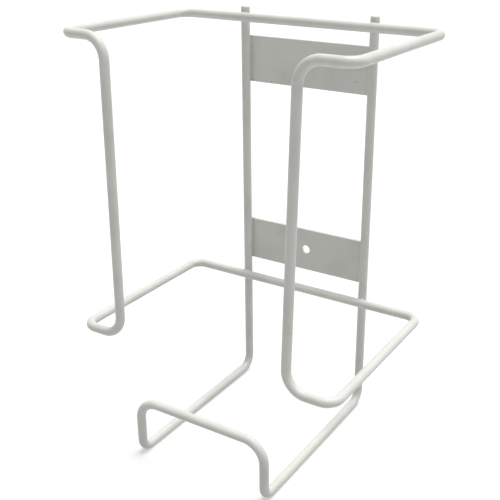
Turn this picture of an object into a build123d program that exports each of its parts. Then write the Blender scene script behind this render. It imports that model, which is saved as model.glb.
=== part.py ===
from build123d import *
import os

# Wire wall holder for an upright box of disposable gloves, in millimetres.
# +Z is up and +Y points into the wall. The origin lies on the wall face, midway between the screw holes.
# Heights are measured from the centreline of the base rails, and widths and depths between centrelines.

# Coated round wire and coated flat strip
wire_diameter = 4.9
plate_height = 25.5
plate_thickness = 2.0
plate_overlap = 1.0
plate_corner_radius = 1.5
plate_edge_radius = 0.4

# Screw holes, one in the middle of each plate: one is set below the top bar, and one above the middle bar
screw_hole_diameter = 5.0
upper_screw_drop = 23.0
lower_screw_rise = 22.2

# Back frame: uprights, base rails and the low retainer at the front
upright_spacing = 78.0
base_depth = 105.8
retainer_height = 31.4
upright_rise = 5.4
heel_radius = 8.0
toe_radius = 6.0
retainer_radius = 11.5
wire_end_radius = 0.8

# Basket loop: a top ring and a middle ring, joined at the front by the two sides of the gate
top_height = 219.0
top_width = 155.0
top_depth = 95.0
top_stub = 25.5
middle_height = 65.8
middle_width = 150.5
middle_depth = 100.2
middle_stub = 25.2
basket_corner_radius = 7.0
gate_radius = 11.0

# Resistance welds: how far each piece is pressed into the next, and the fillet round the joint
wire_weld_depth = 0.6
plate_weld_depth = 0.4
weld_fillet = 0.8

# Places that follow from the sizes above
wire_radius = wire_diameter / 2
plate_length = upright_spacing + 2 * plate_overlap
upper_screw_height = top_height - upper_screw_drop
lower_screw_height = middle_height + lower_screw_rise
rail_z = -(upper_screw_height + lower_screw_height) / 2
top_z = rail_z + top_height
middle_z = rail_z + middle_height
retainer_z = rail_z + retainer_height
upright_end_z = top_z + upright_rise
upright_x = upright_spacing / 2
upright_y = plate_weld_depth - plate_thickness - wire_radius
loop_y = upright_y + wire_weld_depth - wire_diameter
front_y = upright_y - base_depth
tolerance = 0.001


def swept_wire(points, radii):
    """A round wire along straight runs that are joined by tangent arcs."""
    path = FilletPolyline(*points, radius=radii)
    section = Plane(origin=path @ 0, z_dir=path % 0) * Circle(wire_radius)
    return sweep(section, path=path)


def straight_wire(start, end):
    """A straight round wire between two points."""
    run = Line(start, end)
    section = Plane(origin=run @ 0, z_dir=run % 0) * Circle(wire_radius)
    return extrude(section, amount=run.length)


def upright(side):
    """One upright by itself, used to shape what is welded to it. side is -1 on the left, 1 on the right."""
    x = side * upright_x
    return straight_wire((x, upright_y, rail_z), (x, upright_y, upright_end_z))


def make_back_frame():
    """One wire: down an upright, forward, up and across the retainer, and back up the other upright."""
    points = [
        (-upright_x, upright_y, upright_end_z),
        (-upright_x, upright_y, rail_z),
        (-upright_x, front_y, rail_z),
        (-upright_x, front_y, retainer_z),
        (upright_x, front_y, retainer_z),
        (upright_x, front_y, rail_z),
        (upright_x, upright_y, rail_z),
        (upright_x, upright_y, upright_end_z),
    ]
    radii = [heel_radius, toe_radius, retainer_radius, retainer_radius, toe_radius, heel_radius]
    wire = swept_wire(points, radii)
    cut_ends = wire.faces().filter_by(GeomType.PLANE).edges()
    return fillet(cut_ends, wire_end_radius)


def make_half_loop():
    """The right half of the basket loop, from the middle of the top bar to the middle of the middle bar."""
    top_x = top_width / 2
    middle_x = middle_width / 2
    top_front_y = loop_y - top_depth
    middle_front_y = loop_y - middle_depth
    points = [
        (0, loop_y, top_z),
        (top_x, loop_y, top_z),
        (top_x, top_front_y, top_z),
        (top_x - top_stub, top_front_y, top_z),
        (middle_x - middle_stub, middle_front_y, middle_z),
        (middle_x, middle_front_y, middle_z),
        (middle_x, loop_y, middle_z),
        (0, loop_y, middle_z),
    ]
    corner = basket_corner_radius
    radii = [corner, corner, gate_radius, gate_radius, corner, corner]
    return swept_wire(points, radii)


def crossing_weld(side, bar_z):
    """The fillet round the joint where a bar of the loop crosses an upright."""
    reach = 2 * wire_diameter
    x = side * upright_x
    post = straight_wire((x, upright_y, bar_z - reach), (x, upright_y, bar_z + reach))
    bar = straight_wire((x - reach, loop_y, bar_z), (x + reach, loop_y, bar_z))
    joined = post + bar
    near = Box(reach, reach, reach).locate(Location((x, (upright_y + loop_y) / 2, bar_z)))
    curves = [edge for edge in joined.edges() if edge.geom_type != GeomType.LINE]
    seam = [curve for curve in curves if near.is_inside(curve @ 0.5)]
    return fillet(seam, weld_fillet) - post - bar


def make_basket_loop():
    """The closed loop, saddled on the uprights where its two back bars are welded to them."""
    half = make_half_loop()
    loop = half + mirror(half, about=Plane.YZ)
    for side in (-1, 1):
        loop -= upright(side)
        for bar_z in (top_z, middle_z):
            loop += crossing_weld(side, bar_z)
    return loop


def seam_welds():
    """The section of the small weld fillets between a plate's front face and the flanks of the uprights."""
    wires = [Pos(side * upright_x, upright_y) * Circle(wire_radius) for side in (-1, 1)]
    strip = Pos(0, -plate_thickness / 2) * Rectangle(plate_length, plate_thickness)
    joined = strip + wires[0] + wires[1]
    on_strip = [corner for corner in joined.vertices() if abs(corner.Y + plate_thickness) < tolerance]
    corners = [corner for corner in on_strip if abs(corner.X) < plate_length / 2 - tolerance]
    return fillet(corners, weld_fillet) - strip - wires[0] - wires[1]


def make_plate(centre_z):
    """A flat strip behind the uprights, with a screw hole, and a groove where each upright is welded in."""
    outline = RectangleRounded(plate_length, plate_height, plate_corner_radius)
    outline -= Circle(screw_hole_diameter / 2)
    plate = extrude(Plane.XZ * outline, amount=plate_thickness)
    plate = fillet(plate.faces().filter_by(Axis.Y).edges(), plate_edge_radius)
    seam_height = plate_height - 2 * plate_corner_radius
    plate += Pos(0, 0, -seam_height / 2) * extrude(seam_welds(), amount=seam_height)
    plate = Pos(0, 0, centre_z) * plate
    for side in (-1, 1):
        plate -= upright(side)
    return plate


os.makedirs("parts", exist_ok=True)
export_step(make_basket_loop(), "parts/basket_loop.step")
export_step(make_back_frame(), "parts/back_frame.step")
export_step(make_plate(rail_z + upper_screw_height), "parts/upper_plate.step")
export_step(make_plate(rail_z + lower_screw_height), "parts/lower_plate.step")
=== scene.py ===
import math

import bmesh
import bpy
from mathutils import Matrix, Vector


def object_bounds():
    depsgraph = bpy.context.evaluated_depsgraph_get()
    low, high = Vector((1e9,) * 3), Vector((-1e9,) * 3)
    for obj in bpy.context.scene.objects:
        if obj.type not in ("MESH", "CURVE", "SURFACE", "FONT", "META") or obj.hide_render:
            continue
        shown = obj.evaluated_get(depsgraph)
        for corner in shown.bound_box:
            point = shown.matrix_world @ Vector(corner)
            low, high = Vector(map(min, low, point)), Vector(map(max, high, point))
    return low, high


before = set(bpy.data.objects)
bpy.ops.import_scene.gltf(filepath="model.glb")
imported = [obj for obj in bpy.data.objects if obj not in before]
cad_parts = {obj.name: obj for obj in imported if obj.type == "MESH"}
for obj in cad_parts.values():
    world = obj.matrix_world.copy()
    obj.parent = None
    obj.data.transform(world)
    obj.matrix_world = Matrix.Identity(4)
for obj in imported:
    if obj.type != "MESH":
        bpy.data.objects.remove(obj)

bl_info = {
    "name": "Glove Box Holder",
    "version": (1, 0, 0),
    "blender": (4, 5, 0),
    "location": "3D View > Sidebar > Holder",
    "description": "Gives the wire holder its white coating and sets it on a studio floor",
    "category": "Object",
}

# All lengths are in metres. The holder's front faces -Y, and its base rails rest on the floor.
CAD_BOX = [list(corner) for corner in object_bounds()]
FLOOR_HEIGHT = CAD_BOX[0][2]

# Half the thickness of the wire with its coating
WIRE_RADIUS = 0.00245

# How finely the coating's patterns are divided, in divisions per metre
THICKNESS_SCALE = 45.0
GRAIN_SCALE = 420.0
SPECK_SCALE = 170.0

# The fineness of the orange peel's swell, as a share of that of its dimples
SWELL_FINENESS = 0.22

# Noise levels between which the coating turns from full to thin, and from bright to dull
THIN_LEVELS = (0.45, 0.75)
DULL_LEVELS = (0.35, 0.7)

# A cell of the speck pattern holds a speck where its random value, from 0 to 1, is above the threshold.
# The speck fades out between two distances from the cell's middle, in sizes of a cell.
SPECK_THRESHOLD = 0.93
SPECK_LIMITS = (0.045, 0.09)
SPECK_COLOUR = (0.12, 0.11, 0.1, 1.0)

# Shares of the joint's reach between which its painted shade fades out, round the welds and along the seams
# beside the uprights
WELD_SHADE_LIMITS = (0.45, 1.0)
SEAM_SHADOW_LIMITS = (0.5, 0.9)

# How strongly the coating mirrors what it faces
SPECULAR_LEVEL = 0.45

# The floor in the picture: together these make it white where no shadow falls
SHOWN_FLOOR_TONE = 0.6
SHOWN_FLOOR_GLOW = 0.45

WHITE = (1.0, 1.0, 1.0, 1.0)

# The width of the camera's sensor in millimetres, and the distances between which the camera sees things
SENSOR_WIDTH = 36.0
CLIP_START = 0.01
CLIP_END = 100.0


class HolderCoating(bpy.types.PropertyGroup):
    """The baked white coating on the wires and plates."""

    tone: bpy.props.FloatVectorProperty(
        name="Tone", description="Colour of the coating at its full thickness",
        subtype="COLOR", size=3, min=0.0, max=1.0, default=(0.80, 0.81, 0.755))
    # The thin tone is also the colour that the painted shade round the welds and along the seams darkens
    # towards.
    thin_coat_and_shade_tone: bpy.props.FloatVectorProperty(
        name="Thin Tone", description="Colour where the coating is thin over the steel",
        subtype="COLOR", size=3, min=0.0, max=1.0, default=(0.52, 0.525, 0.48))
    tone_variation: bpy.props.FloatProperty(
        name="Tone Variation", description="How much the thickness of the coating shows in its colour",
        subtype="FACTOR", min=0.0, max=1.0, default=0.35)
    # Painted shade: how much the corners round a weld and the seams beside the uprights are darkened, and
    # how far from them it reaches.
    painted_joint_shade: bpy.props.FloatProperty(
        name="Painted Joint Shade", description="How much the coating darkens in the corners round a weld",
        subtype="FACTOR", min=0.0, max=1.0, default=0.55)
    painted_shade_reach: bpy.props.FloatProperty(
        name="Joint Reach", description="How far from a weld its corners still darken the coating",
        subtype="DISTANCE", unit="LENGTH", min=0.001, max=0.02, default=0.0048)
    speck_tone: bpy.props.FloatProperty(
        name="Speck Tone", description="How dark the few specks in the coating are",
        subtype="FACTOR", min=0.0, max=1.0, default=0.5)
    roughness: bpy.props.FloatProperty(
        name="Roughness", description="Roughness of the coating where it flowed out well",
        subtype="FACTOR", min=0.0, max=1.0, default=0.33)
    rough_spread: bpy.props.FloatProperty(
        name="Roughness Spread", description="How much rougher the coating is where it didn't flow out",
        subtype="FACTOR", min=0.0, max=1.0, default=0.12)
    peel_size: bpy.props.FloatProperty(
        name="Peel Size", description="Width of one dimple of the coating's orange peel",
        subtype="DISTANCE", unit="LENGTH", min=0.0002, max=0.01, default=0.0016)
    peel_height: bpy.props.FloatProperty(
        name="Peel Height", description="Depth of the orange peel",
        subtype="DISTANCE", unit="LENGTH", min=0.0, max=0.0005, default=0.00003)


class HolderStage(bpy.types.PropertyGroup):
    """The studio floor, the light and the camera."""

    floor_size: bpy.props.FloatProperty(
        name="Floor Size", description="Length of the floor's sides",
        subtype="DISTANCE", unit="LENGTH", min=1.0, max=100.0, default=30.0)
    floor_tone: bpy.props.FloatProperty(
        name="Floor Tone", description="How much of the light on it the floor gives back to the holder",
        subtype="FACTOR", min=0.0, max=1.0, default=0.5)
    sky_strength: bpy.props.FloatProperty(
        name="Sky Strength", description="Light that comes evenly from all round",
        min=0.0, max=5.0, default=0.3)
    sun_strength: bpy.props.FloatProperty(
        name="Overhead Strength", description="Strength of the large lamp overhead",
        min=0.0, max=20.0, default=2.9)
    sun_angle: bpy.props.FloatProperty(
        name="Overhead Size", description="How large the overhead lamp looks from the holder",
        subtype="ANGLE", unit="ROTATION", min=0.0, max=math.pi, default=math.radians(44.0))
    sun_azimuth: bpy.props.FloatProperty(
        name="Overhead Azimuth",
        description="Direction that the overhead lamp stands in, from the front to the right",
        subtype="ANGLE", unit="ROTATION", min=-math.pi, max=math.pi, default=math.radians(150.0))
    sun_elevation: bpy.props.FloatProperty(
        name="Overhead Elevation", description="Height of the overhead lamp above the horizon",
        subtype="ANGLE", unit="ROTATION", min=0.0, max=math.pi / 2, default=math.radians(76.0))
    camera_target: bpy.props.FloatVectorProperty(
        name="Target", description="Point that the camera's axis passes through",
        subtype="TRANSLATION", unit="LENGTH", size=3, default=(-0.00904, -0.0082, -0.0508))
    camera_distance: bpy.props.FloatProperty(
        name="Distance", description="Distance from the camera to its target",
        subtype="DISTANCE", unit="LENGTH", min=0.1, max=10.0, default=0.48209)
    camera_azimuth: bpy.props.FloatProperty(
        name="Camera Azimuth",
        description="Direction that the camera stands in, from the front to the right",
        subtype="ANGLE", unit="ROTATION", min=-math.pi, max=math.pi, default=math.radians(30.66))
    camera_elevation: bpy.props.FloatProperty(
        name="Camera Elevation", description="Height of the camera above the horizon",
        subtype="ANGLE", unit="ROTATION", min=-math.pi / 2, max=math.pi / 2, default=math.radians(22.41))
    camera_roll: bpy.props.FloatProperty(
        name="Camera Roll", description="Turn of the camera about its own axis",
        subtype="ANGLE", unit="ROTATION", min=-math.pi, max=math.pi, default=math.radians(0.42))
    camera_lens: bpy.props.FloatProperty(
        name="Lens", description="Focal length for a sensor 36 mm wide",
        subtype="DISTANCE_CAMERA", min=10.0, max=300.0, default=59.2)
    camera_shift: bpy.props.FloatVectorProperty(
        name="Shift", description="Shift of the picture, in widths of the picture",
        size=2, min=-0.5, max=0.5, default=(-0.074, -0.0102))


def feed(tree, socket, value):
    """Gives a socket a value of its own, or links it to the output that the value comes from."""
    if isinstance(value, bpy.types.NodeSocket):
        tree.links.new(value, socket)
    else:
        socket.default_value = value


def add_node(tree, kind, place, **inputs):
    """A new node in a node tree. Each input is given by name, as a value or as another node's output."""
    node = tree.nodes.new(kind)
    node.location = place
    for name, value in inputs.items():
        feed(tree, node.inputs[name.replace("_", " ")], value)
    return node


def calculate(tree, operation, place, *values):
    """The result of a math node. Each value is a number or another node's output."""
    node = add_node(tree, "ShaderNodeMath", place)
    node.operation = operation
    for socket, value in zip(node.inputs, values):
        feed(tree, socket, value)
    return node.outputs[0]


def ramp(tree, place, value, limits, ends=(0.0, 1.0), interpolation="LINEAR"):
    """Goes from one end to the other as the value goes between its limits, and no further beyond them."""
    node = add_node(tree, "ShaderNodeMapRange", place, Value=value,
                    From_Min=limits[0], From_Max=limits[1], To_Min=ends[0], To_Max=ends[1])
    node.interpolation_type = interpolation
    return node.outputs["Result"]


def mix_colours(tree, place, amount, first, second):
    """The colour between two colours, nearer to the second as the amount grows from 0 to 1."""
    node = add_node(tree, "ShaderNodeMix", place)
    node.data_type = "RGBA"
    feed(tree, node.inputs["Factor"], amount)
    feed(tree, node.inputs["A"], first)
    feed(tree, node.inputs["B"], second)
    return node.outputs["Result"]


def mix_shaders(tree, place, amount, first, second):
    """The first shader where the amount is 0, and the second where it is 1."""
    node = add_node(tree, "ShaderNodeMixShader", place, Fac=amount)
    tree.links.new(first.outputs[0], node.inputs[1])
    tree.links.new(second.outputs[0], node.inputs[2])
    return node.outputs[0]


def grey(level):
    """A grey as a colour."""
    return (level, level, level, 1.0)


def new_group(name, numbers, results):
    """A node group that takes a position and numbers with defaults, and gives out results by name."""
    group = bpy.data.node_groups.new(name, "ShaderNodeTree")
    group.interface.new_socket("Position", in_out="INPUT", socket_type="NodeSocketVector")
    for number, default in numbers.items():
        socket = group.interface.new_socket(number, in_out="INPUT", socket_type="NodeSocketFloat")
        socket.default_value = default
    for result in results:
        group.interface.new_socket(result, in_out="OUTPUT", socket_type="NodeSocketFloat")
    taken = add_node(group, "NodeGroupInput", (-900, 0))
    given = add_node(group, "NodeGroupOutput", (900, 0))
    return group, taken.outputs, given.inputs


def make_peel_group(name):
    """Orange peel: shallow dimples with a longer, gentler swell under them."""
    tree, taken, given = new_group(name, {"Size": 0.0016, "Swell": 0.5}, ["Height"])
    dimple_scale = calculate(tree, "DIVIDE", (-650, -150), 1.0, taken["Size"])
    swell_scale = calculate(tree, "MULTIPLY", (-450, -350), dimple_scale, SWELL_FINENESS)
    dimples = add_node(tree, "ShaderNodeTexNoise", (-200, 100),
                       Vector=taken["Position"], Scale=dimple_scale, Detail=1.5, Roughness=0.45)
    swell = add_node(tree, "ShaderNodeTexNoise", (-200, -250),
                     Vector=taken["Position"], Scale=swell_scale, Detail=1.0, Roughness=0.4)
    swell_height = calculate(tree, "MULTIPLY", (100, -200), swell.outputs["Fac"], taken["Swell"])
    height = calculate(tree, "ADD", (350, 0), dimples.outputs["Fac"], swell_height)
    tree.links.new(height, given["Height"])
    return tree


def make_cover_group(name):
    """How the coating lies: where it is thin, where it is dull, and its few small specks."""
    tree, taken, given = new_group(name, {}, ["Thin", "Dull", "Speck"])
    thickness = add_node(tree, "ShaderNodeTexNoise", (-600, 150),
                         Vector=taken["Position"], Scale=THICKNESS_SCALE, Detail=3.0, Roughness=0.55)
    thin = ramp(tree, (-300, 150), thickness.outputs["Fac"], THIN_LEVELS)
    grain = add_node(tree, "ShaderNodeTexNoise", (-600, -150),
                     Vector=taken["Position"], Scale=GRAIN_SCALE, Detail=2.0, Roughness=0.6)
    dull = ramp(tree, (-300, -150), grain.outputs["Fac"], DULL_LEVELS)
    cells = add_node(tree, "ShaderNodeTexVoronoi", (-600, -450),
                     Vector=taken["Position"], Scale=SPECK_SCALE)
    random = add_node(tree, "ShaderNodeSeparateColor", (-350, -550), Color=cells.outputs["Color"])
    chosen = calculate(tree, "GREATER_THAN", (-150, -550), random.outputs["Red"], SPECK_THRESHOLD)
    dot = ramp(tree, (-350, -400), cells.outputs["Distance"], SPECK_LIMITS, ends=(1.0, 0.0))
    speck = calculate(tree, "MULTIPLY", (100, -450), dot, chosen)
    tree.links.new(thin, given["Thin"])
    tree.links.new(dull, given["Dull"])
    tree.links.new(speck, given["Speck"])
    return tree


def fade_out(tree, distance, reach, limits):
    """1 near a joint and 0 away from it. It falls between two shares of the reach."""
    share = calculate(tree, "DIVIDE", (300, 0), distance, reach)
    return ramp(tree, (550, 0), share, limits, ends=(1.0, 0.0), interpolation="SMOOTHSTEP")


def make_weld_shade_group(name, welds):
    """How near a point of a wire lies to the nearest weld, for the painted shade in the corners round the
    welds.
    """
    tree, taken, given = new_group(name, {"Reach": 0.005}, ["Near"])
    distances = []
    for row, weld in enumerate(welds):
        node = add_node(tree, "ShaderNodeVectorMath", (-500, 200 - 200 * row))
        node.operation = "DISTANCE"
        feed(tree, node.inputs[0], taken["Position"])
        feed(tree, node.inputs[1], weld)
        distances.append(node.outputs["Value"])
    nearest = distances[0]
    for column, distance in enumerate(distances[1:]):
        nearest = calculate(tree, "MINIMUM", (-250 + 180 * column, 0), nearest, distance)
    tree.links.new(fade_out(tree, nearest, taken["Reach"], WELD_SHADE_LIMITS), given["Near"])
    return tree


def make_seam_shadow_group(name, upright_offset):
    """How near a point of a plate lies, from side to side, to the middle of the upright welded there, for
    the painted contact shadow beside the upright.
    """
    tree, taken, given = new_group(name, {"Reach": 0.005}, ["Near"])
    split = add_node(tree, "ShaderNodeSeparateXYZ", (-600, 0), Vector=taken["Position"])
    side = calculate(tree, "ABSOLUTE", (-400, 100), split.outputs["X"])
    beside = calculate(tree, "SUBTRACT", (-200, 100), side, upright_offset)
    distance = calculate(tree, "ABSOLUTE", (0, 100), beside)
    tree.links.new(fade_out(tree, distance, taken["Reach"], SEAM_SHADOW_LIMITS), given["Near"])
    return tree


def box_of(node_name):
    """The lowest and highest corner of one of the holder's own pieces."""
    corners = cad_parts[node_name].bound_box
    low = [min(corner[axis] for corner in corners) for axis in range(3)]
    high = [max(corner[axis] for corner in corners) for axis in range(3)]
    return low, high


def find_upright_offset():
    """The distance of the uprights' centrelines from the middle of the holder."""
    _, (width, _, _) = box_of("back_frame")
    return width - WIRE_RADIUS


def find_welds():
    """The four places where the loop's back bars are welded to the front of the uprights."""
    offset = find_upright_offset()
    _, (_, back, _) = box_of("back_frame")
    (_, _, low), (_, _, high) = box_of("basket_loop")
    heights = (high - WIRE_RADIUS, low + WIRE_RADIUS)
    return [(side * offset, back - 2 * WIRE_RADIUS, height) for side in (-1, 1) for height in heights]


def find_group(name, make, *values):
    """A node group by its name, made from values where it isn't there yet."""
    return bpy.data.node_groups.get(name) or make(name, *values)


def place_group(tree, group, place, **inputs):
    """A node group in a material. Each input is given by name, as a value or as another node's output."""
    node = add_node(tree, "ShaderNodeGroup", place)
    node.node_tree = group
    for name, value in inputs.items():
        feed(tree, node.inputs[name], value)
    return node.outputs


def make_coating(name, coating, flat):
    """The coating as a material, for a flat plate or a round wire."""
    # Painted shade: along the seams beside the uprights on a plate, and in the corners round the welds on a
    # wire.
    if flat:
        painted_shade_group = find_group("Plate Seam", make_seam_shadow_group, find_upright_offset())
    else:
        painted_shade_group = find_group("Weld Corner", make_weld_shade_group, find_welds())
    cover_group = find_group("Coating Cover", make_cover_group)
    peel_group = find_group("Coating Peel", make_peel_group)
    material = bpy.data.materials.new(name)
    material.use_nodes = True
    tree = material.node_tree
    position = add_node(tree, "ShaderNodeTexCoord", (-1300, 0)).outputs["Object"]
    joint = place_group(tree, painted_shade_group, (-1000, 500), Position=position, Reach=coating.painted_shade_reach)
    cover = place_group(tree, cover_group, (-1000, 200), Position=position)
    peel = place_group(tree, peel_group, (-1000, -300), Position=position, Size=coating.peel_size)

    # The coating darkens towards the thin tone where it is thin at random, and with painted shade near the
    # welds and seams.
    thin = calculate(tree, "MULTIPLY", (-750, 350), cover["Thin"], coating.tone_variation)
    shade = calculate(tree, "MULTIPLY", (-750, 500), joint["Near"], coating.painted_joint_shade)
    amount = calculate(tree, "MAXIMUM", (-600, 350), thin, shade)
    full_tone = (*coating.tone, 1.0)
    thin_coat_and_shade_tone = (*coating.thin_coat_and_shade_tone, 1.0)
    tone = mix_colours(tree, (-450, 300), amount, full_tone, thin_coat_and_shade_tone)
    speck = calculate(tree, "MULTIPLY", (-450, 550), cover["Speck"], coating.speck_tone)
    specked = mix_colours(tree, (-200, 300), speck, tone, SPECK_COLOUR)

    rough_ends = (coating.roughness, coating.roughness + coating.rough_spread)
    rough = ramp(tree, (-450, 50), cover["Dull"], (0.0, 1.0), ends=rough_ends)
    bump = add_node(tree, "ShaderNodeBump", (-450, -300),
                    Strength=1.0, Distance=coating.peel_height, Height=peel["Height"])

    shader = tree.nodes["Principled BSDF"]
    shader.inputs["Metallic"].default_value = 0.0
    shader.inputs["Specular IOR Level"].default_value = SPECULAR_LEVEL
    tree.links.new(specked, shader.inputs["Base Color"])
    tree.links.new(rough, shader.inputs["Roughness"])
    tree.links.new(bump.outputs["Normal"], shader.inputs["Normal"])
    return material


def finish_node(node_name, coating, flat=False):
    """Gives one of the holder's own pieces its coating."""
    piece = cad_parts[node_name]
    piece.data.materials.clear()
    piece.data.materials.append(make_coating(f"{node_name}_coating", coating, flat))


class HOLDER_OT_basket_loop(bpy.types.Operator):
    """Coat the closed wire loop of the basket"""

    bl_idname = "holder.basket_loop"
    bl_label = "Coat the Basket Loop"

    def execute(self, context):
        finish_node("basket_loop", context.scene.holder_coating)
        return {"FINISHED"}


class HOLDER_OT_back_frame(bpy.types.Operator):
    """Coat the bent wire of the uprights, base and retainer"""

    bl_idname = "holder.back_frame"
    bl_label = "Coat the Back Frame"

    def execute(self, context):
        finish_node("back_frame", context.scene.holder_coating)
        return {"FINISHED"}


class HOLDER_OT_mounting_plates(bpy.types.Operator):
    """Coat the two mounting plates"""

    bl_idname = "holder.mounting_plates"
    bl_label = "Coat the Mounting Plates"

    def execute(self, context):
        for node_name in ("upper_plate", "lower_plate"):
            finish_node(node_name, context.scene.holder_coating, flat=True)
        return {"FINISHED"}


def direction(azimuth, elevation):
    """The unit vector from the holder towards an azimuth, from the front to the right, and an elevation."""
    level = math.cos(elevation)
    return Vector((math.sin(azimuth) * level, -math.cos(azimuth) * level, math.sin(elevation)))


def camera_sees(tree):
    """1 for rays that come from the camera, from a gloss or through glass, and 0 for all others."""
    path = add_node(tree, "ShaderNodeLightPath", (-800, 300))
    seen = path.outputs["Is Camera Ray"]
    for column, ray in enumerate(("Is Glossy Ray", "Is Transmission Ray")):
        seen = calculate(tree, "MAXIMUM", (-600 + 180 * column, 300), seen, path.outputs[ray])
    return seen


def make_floor_material(stage):
    """Matt grey for the light that reaches the holder, and white in the picture, apart from a shadow."""
    material = bpy.data.materials.new("studio_floor")
    material.use_nodes = True
    tree = material.node_tree
    tree.nodes.clear()
    matt = add_node(tree, "ShaderNodeBsdfDiffuse", (-200, 0), Color=grey(stage.floor_tone))
    shown = add_node(tree, "ShaderNodeBsdfDiffuse", (-200, -150), Color=grey(SHOWN_FLOOR_TONE))
    glow = add_node(tree, "ShaderNodeEmission", (-200, -300), Strength=SHOWN_FLOOR_GLOW)
    white = add_node(tree, "ShaderNodeAddShader", (50, -200))
    tree.links.new(shown.outputs[0], white.inputs[0])
    tree.links.new(glow.outputs[0], white.inputs[1])
    surface = mix_shaders(tree, (350, 0), camera_sees(tree), matt, white)
    add_node(tree, "ShaderNodeOutputMaterial", (600, 0), Surface=surface)
    return material


def make_floor(stage):
    """The floor that the base rails rest on."""
    shape = bmesh.new()
    bmesh.ops.create_grid(shape, x_segments=1, y_segments=1, size=stage.floor_size / 2)
    bmesh.ops.translate(shape, vec=(0.0, 0.0, FLOOR_HEIGHT), verts=shape.verts)
    mesh = bpy.data.meshes.new("floor")
    shape.to_mesh(mesh)
    shape.free()
    mesh.materials.append(make_floor_material(stage))
    floor = bpy.data.objects.new("floor", mesh)
    bpy.context.scene.collection.objects.link(floor)


def make_world(stage):
    """Even light from all round, and a white background."""
    world = bpy.data.worlds.new("studio")
    bpy.context.scene.world = world
    world.use_nodes = True
    tree = world.node_tree
    tree.nodes.clear()
    light = add_node(tree, "ShaderNodeBackground", (0, 100), Color=WHITE, Strength=stage.sky_strength)
    white = add_node(tree, "ShaderNodeBackground", (0, -100), Color=WHITE, Strength=1.0)
    surface = mix_shaders(tree, (300, 0), camera_sees(tree), light, white)
    add_node(tree, "ShaderNodeOutputWorld", (600, 0), Surface=surface)


def make_lamp(stage):
    """One large soft lamp high over the holder."""
    data = bpy.data.lights.new("overhead", "SUN")
    data.energy = stage.sun_strength
    data.angle = stage.sun_angle
    lamp = bpy.data.objects.new("overhead", data)
    bpy.context.scene.collection.objects.link(lamp)
    towards = direction(stage.sun_azimuth, stage.sun_elevation)
    lamp.location = towards
    lamp.rotation_euler = towards.to_track_quat("Z", "Y").to_euler()


def make_camera(stage):
    """The camera at the photograph's angle."""
    data = bpy.data.cameras.new("camera")
    data.sensor_width = SENSOR_WIDTH
    data.lens = stage.camera_lens
    data.shift_x, data.shift_y = stage.camera_shift
    data.clip_start = CLIP_START
    data.clip_end = CLIP_END
    camera = bpy.data.objects.new("camera", data)
    bpy.context.scene.collection.objects.link(camera)
    back = direction(stage.camera_azimuth, stage.camera_elevation)
    right = Vector((math.cos(stage.camera_azimuth), math.sin(stage.camera_azimuth), 0.0))
    up = back.cross(right)
    roll = stage.camera_roll
    rolled_right = math.cos(roll) * right + math.sin(roll) * up
    rolled_up = math.cos(roll) * up - math.sin(roll) * right
    turn = Matrix((rolled_right, rolled_up, back)).transposed()
    place = Vector(stage.camera_target) + stage.camera_distance * back
    camera.matrix_world = Matrix.Translation(place) @ turn.to_4x4()
    bpy.context.scene.camera = camera


class HOLDER_OT_stage(bpy.types.Operator):
    """Set the floor, the light and the camera"""

    bl_idname = "holder.stage"
    bl_label = "Set the Stage"

    def execute(self, context):
        stage = context.scene.holder_stage
        context.scene.view_settings.view_transform = "Standard"
        make_floor(stage)
        make_world(stage)
        make_lamp(stage)
        make_camera(stage)
        return {"FINISHED"}


class HOLDER_PT_panel(bpy.types.Panel):
    """The holder's finish and stage"""

    bl_label = "Glove Box Holder"
    bl_space_type = "VIEW_3D"
    bl_region_type = "UI"
    bl_category = "Holder"

    def draw(self, context):
        layout = self.layout
        for operator in OPERATORS:
            layout.operator(operator.bl_idname)
        for settings in (context.scene.holder_coating, context.scene.holder_stage):
            box = layout.box()
            for name in settings.__annotations__:
                box.prop(settings, name)


OPERATORS = (HOLDER_OT_basket_loop, HOLDER_OT_back_frame, HOLDER_OT_mounting_plates, HOLDER_OT_stage)
CLASSES = (HolderCoating, HolderStage, *OPERATORS, HOLDER_PT_panel)


def register():
    """Registers the classes and gives the scene the holder's settings."""
    for cls in CLASSES:
        bpy.utils.register_class(cls)
    bpy.types.Scene.holder_coating = bpy.props.PointerProperty(type=HolderCoating)
    bpy.types.Scene.holder_stage = bpy.props.PointerProperty(type=HolderStage)


def unregister():
    """Takes the settings and the classes away again."""
    del bpy.types.Scene.holder_stage
    del bpy.types.Scene.holder_coating
    for cls in reversed(CLASSES):
        bpy.utils.unregister_class(cls)


def main():
    """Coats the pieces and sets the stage."""
    register()
    bpy.ops.holder.basket_loop()
    bpy.ops.holder.back_frame()
    bpy.ops.holder.mounting_plates()
    bpy.ops.holder.stage()


if __name__ == "__main__":
    main()
